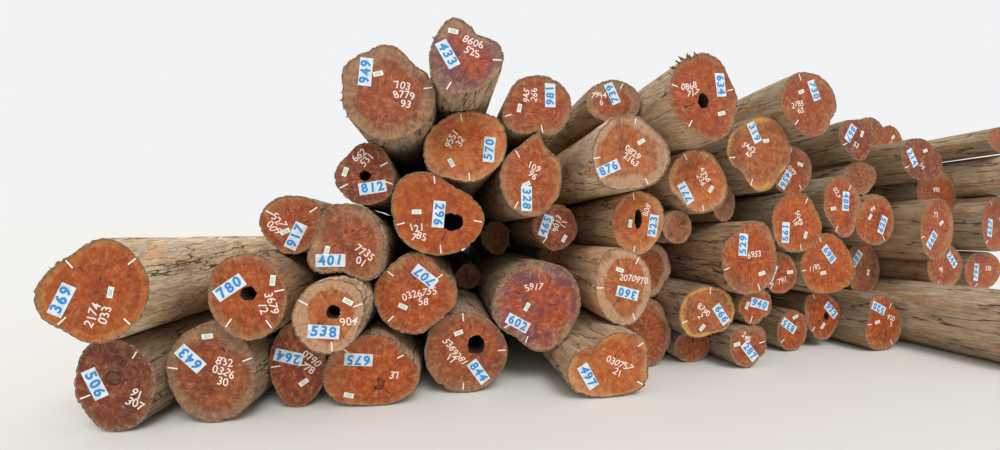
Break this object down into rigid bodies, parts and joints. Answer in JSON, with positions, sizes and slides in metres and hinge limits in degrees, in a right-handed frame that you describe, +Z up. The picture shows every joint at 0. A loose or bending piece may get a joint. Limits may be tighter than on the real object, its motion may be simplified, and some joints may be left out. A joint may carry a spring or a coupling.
{
  "type": "heap of logs",
  "caption": "Loose heap of round hardwood logs lying on level ground with their sawn ends in one uneven face, stored as raw stock for sawing.",
  "frame": {"origin": "on the ground, under the middle of the heap's bounding box", "axes": "+X along the sawn face from left to right as seen from the sawn ends, +Y from the sawn face along the logs, +Z up"},
  "size_m": [10.692, 7.4186, 3.2659],
  "materials": {
    "red_hardwood": "rough sawn, oiled-looking red heartwood with grey-tan bark",
    "orange_hardwood": "rough sawn orange heartwood with grey-tan bark",
    "brown_hardwood": "rough sawn brown wood with grey-tan bark"
  },
  "bodies": {
    "root": {"inner_logs": "brown_hardwood", "log_01": "orange_hardwood", "log_02": "red_hardwood", "log_03": "red_hardwood", "log_04": "red_hardwood", "log_05": "red_hardwood", "log_06": "red_hardwood", "log_07": "red_hardwood", "log_08": "brown_hardwood", "log_09": "red_hardwood", "log_10": "red_hardwood", "log_11": "brown_hardwood", "log_12": "orange_hardwood", "log_13": "red_hardwood", "log_14": "orange_hardwood", "log_15": "red_hardwood", "log_16": "red_hardwood", "log_17": "brown_hardwood", "log_18": "red_hardwood", "log_19": "red_hardwood", "log_20": "red_hardwood", "log_21": "brown_hardwood", "log_22": "orange_hardwood", "log_23": "orange_hardwood", "log_24": "brown_hardwood", "log_25": "orange_hardwood", "log_26": "orange_hardwood", "log_27": "orange_hardwood", "log_28": "red_hardwood", "log_29": "brown_hardwood", "log_30": "red_hardwood", "log_31": "red_hardwood", "log_32": "orange_hardwood", "log_33": "red_hardwood", "log_34": "red_hardwood", "log_35": "red_hardwood", "log_36": "red_hardwood", "log_37": "red_hardwood", "log_38": "orange_hardwood", "log_39": "red_hardwood", "log_40": "red_hardwood", "log_41": "orange_hardwood", "log_42": "red_hardwood", "log_43": "brown_hardwood", "log_44": "red_hardwood", "log_45": "red_hardwood", "log_48": "red_hardwood", "log_49": "brown_hardwood", "log_50": "red_hardwood", "log_51": "red_hardwood", "log_52": "red_hardwood", "log_53": "red_hardwood", "log_54": "red_hardwood", "log_55": "brown_hardwood", "log_56": "red_hardwood", "log_58": "red_hardwood", "log_59": "red_hardwood", "log_60": "brown_hardwood", "log_61": "brown_hardwood", "top_right_logs": "red_hardwood"}
  },
  "joints": []
}
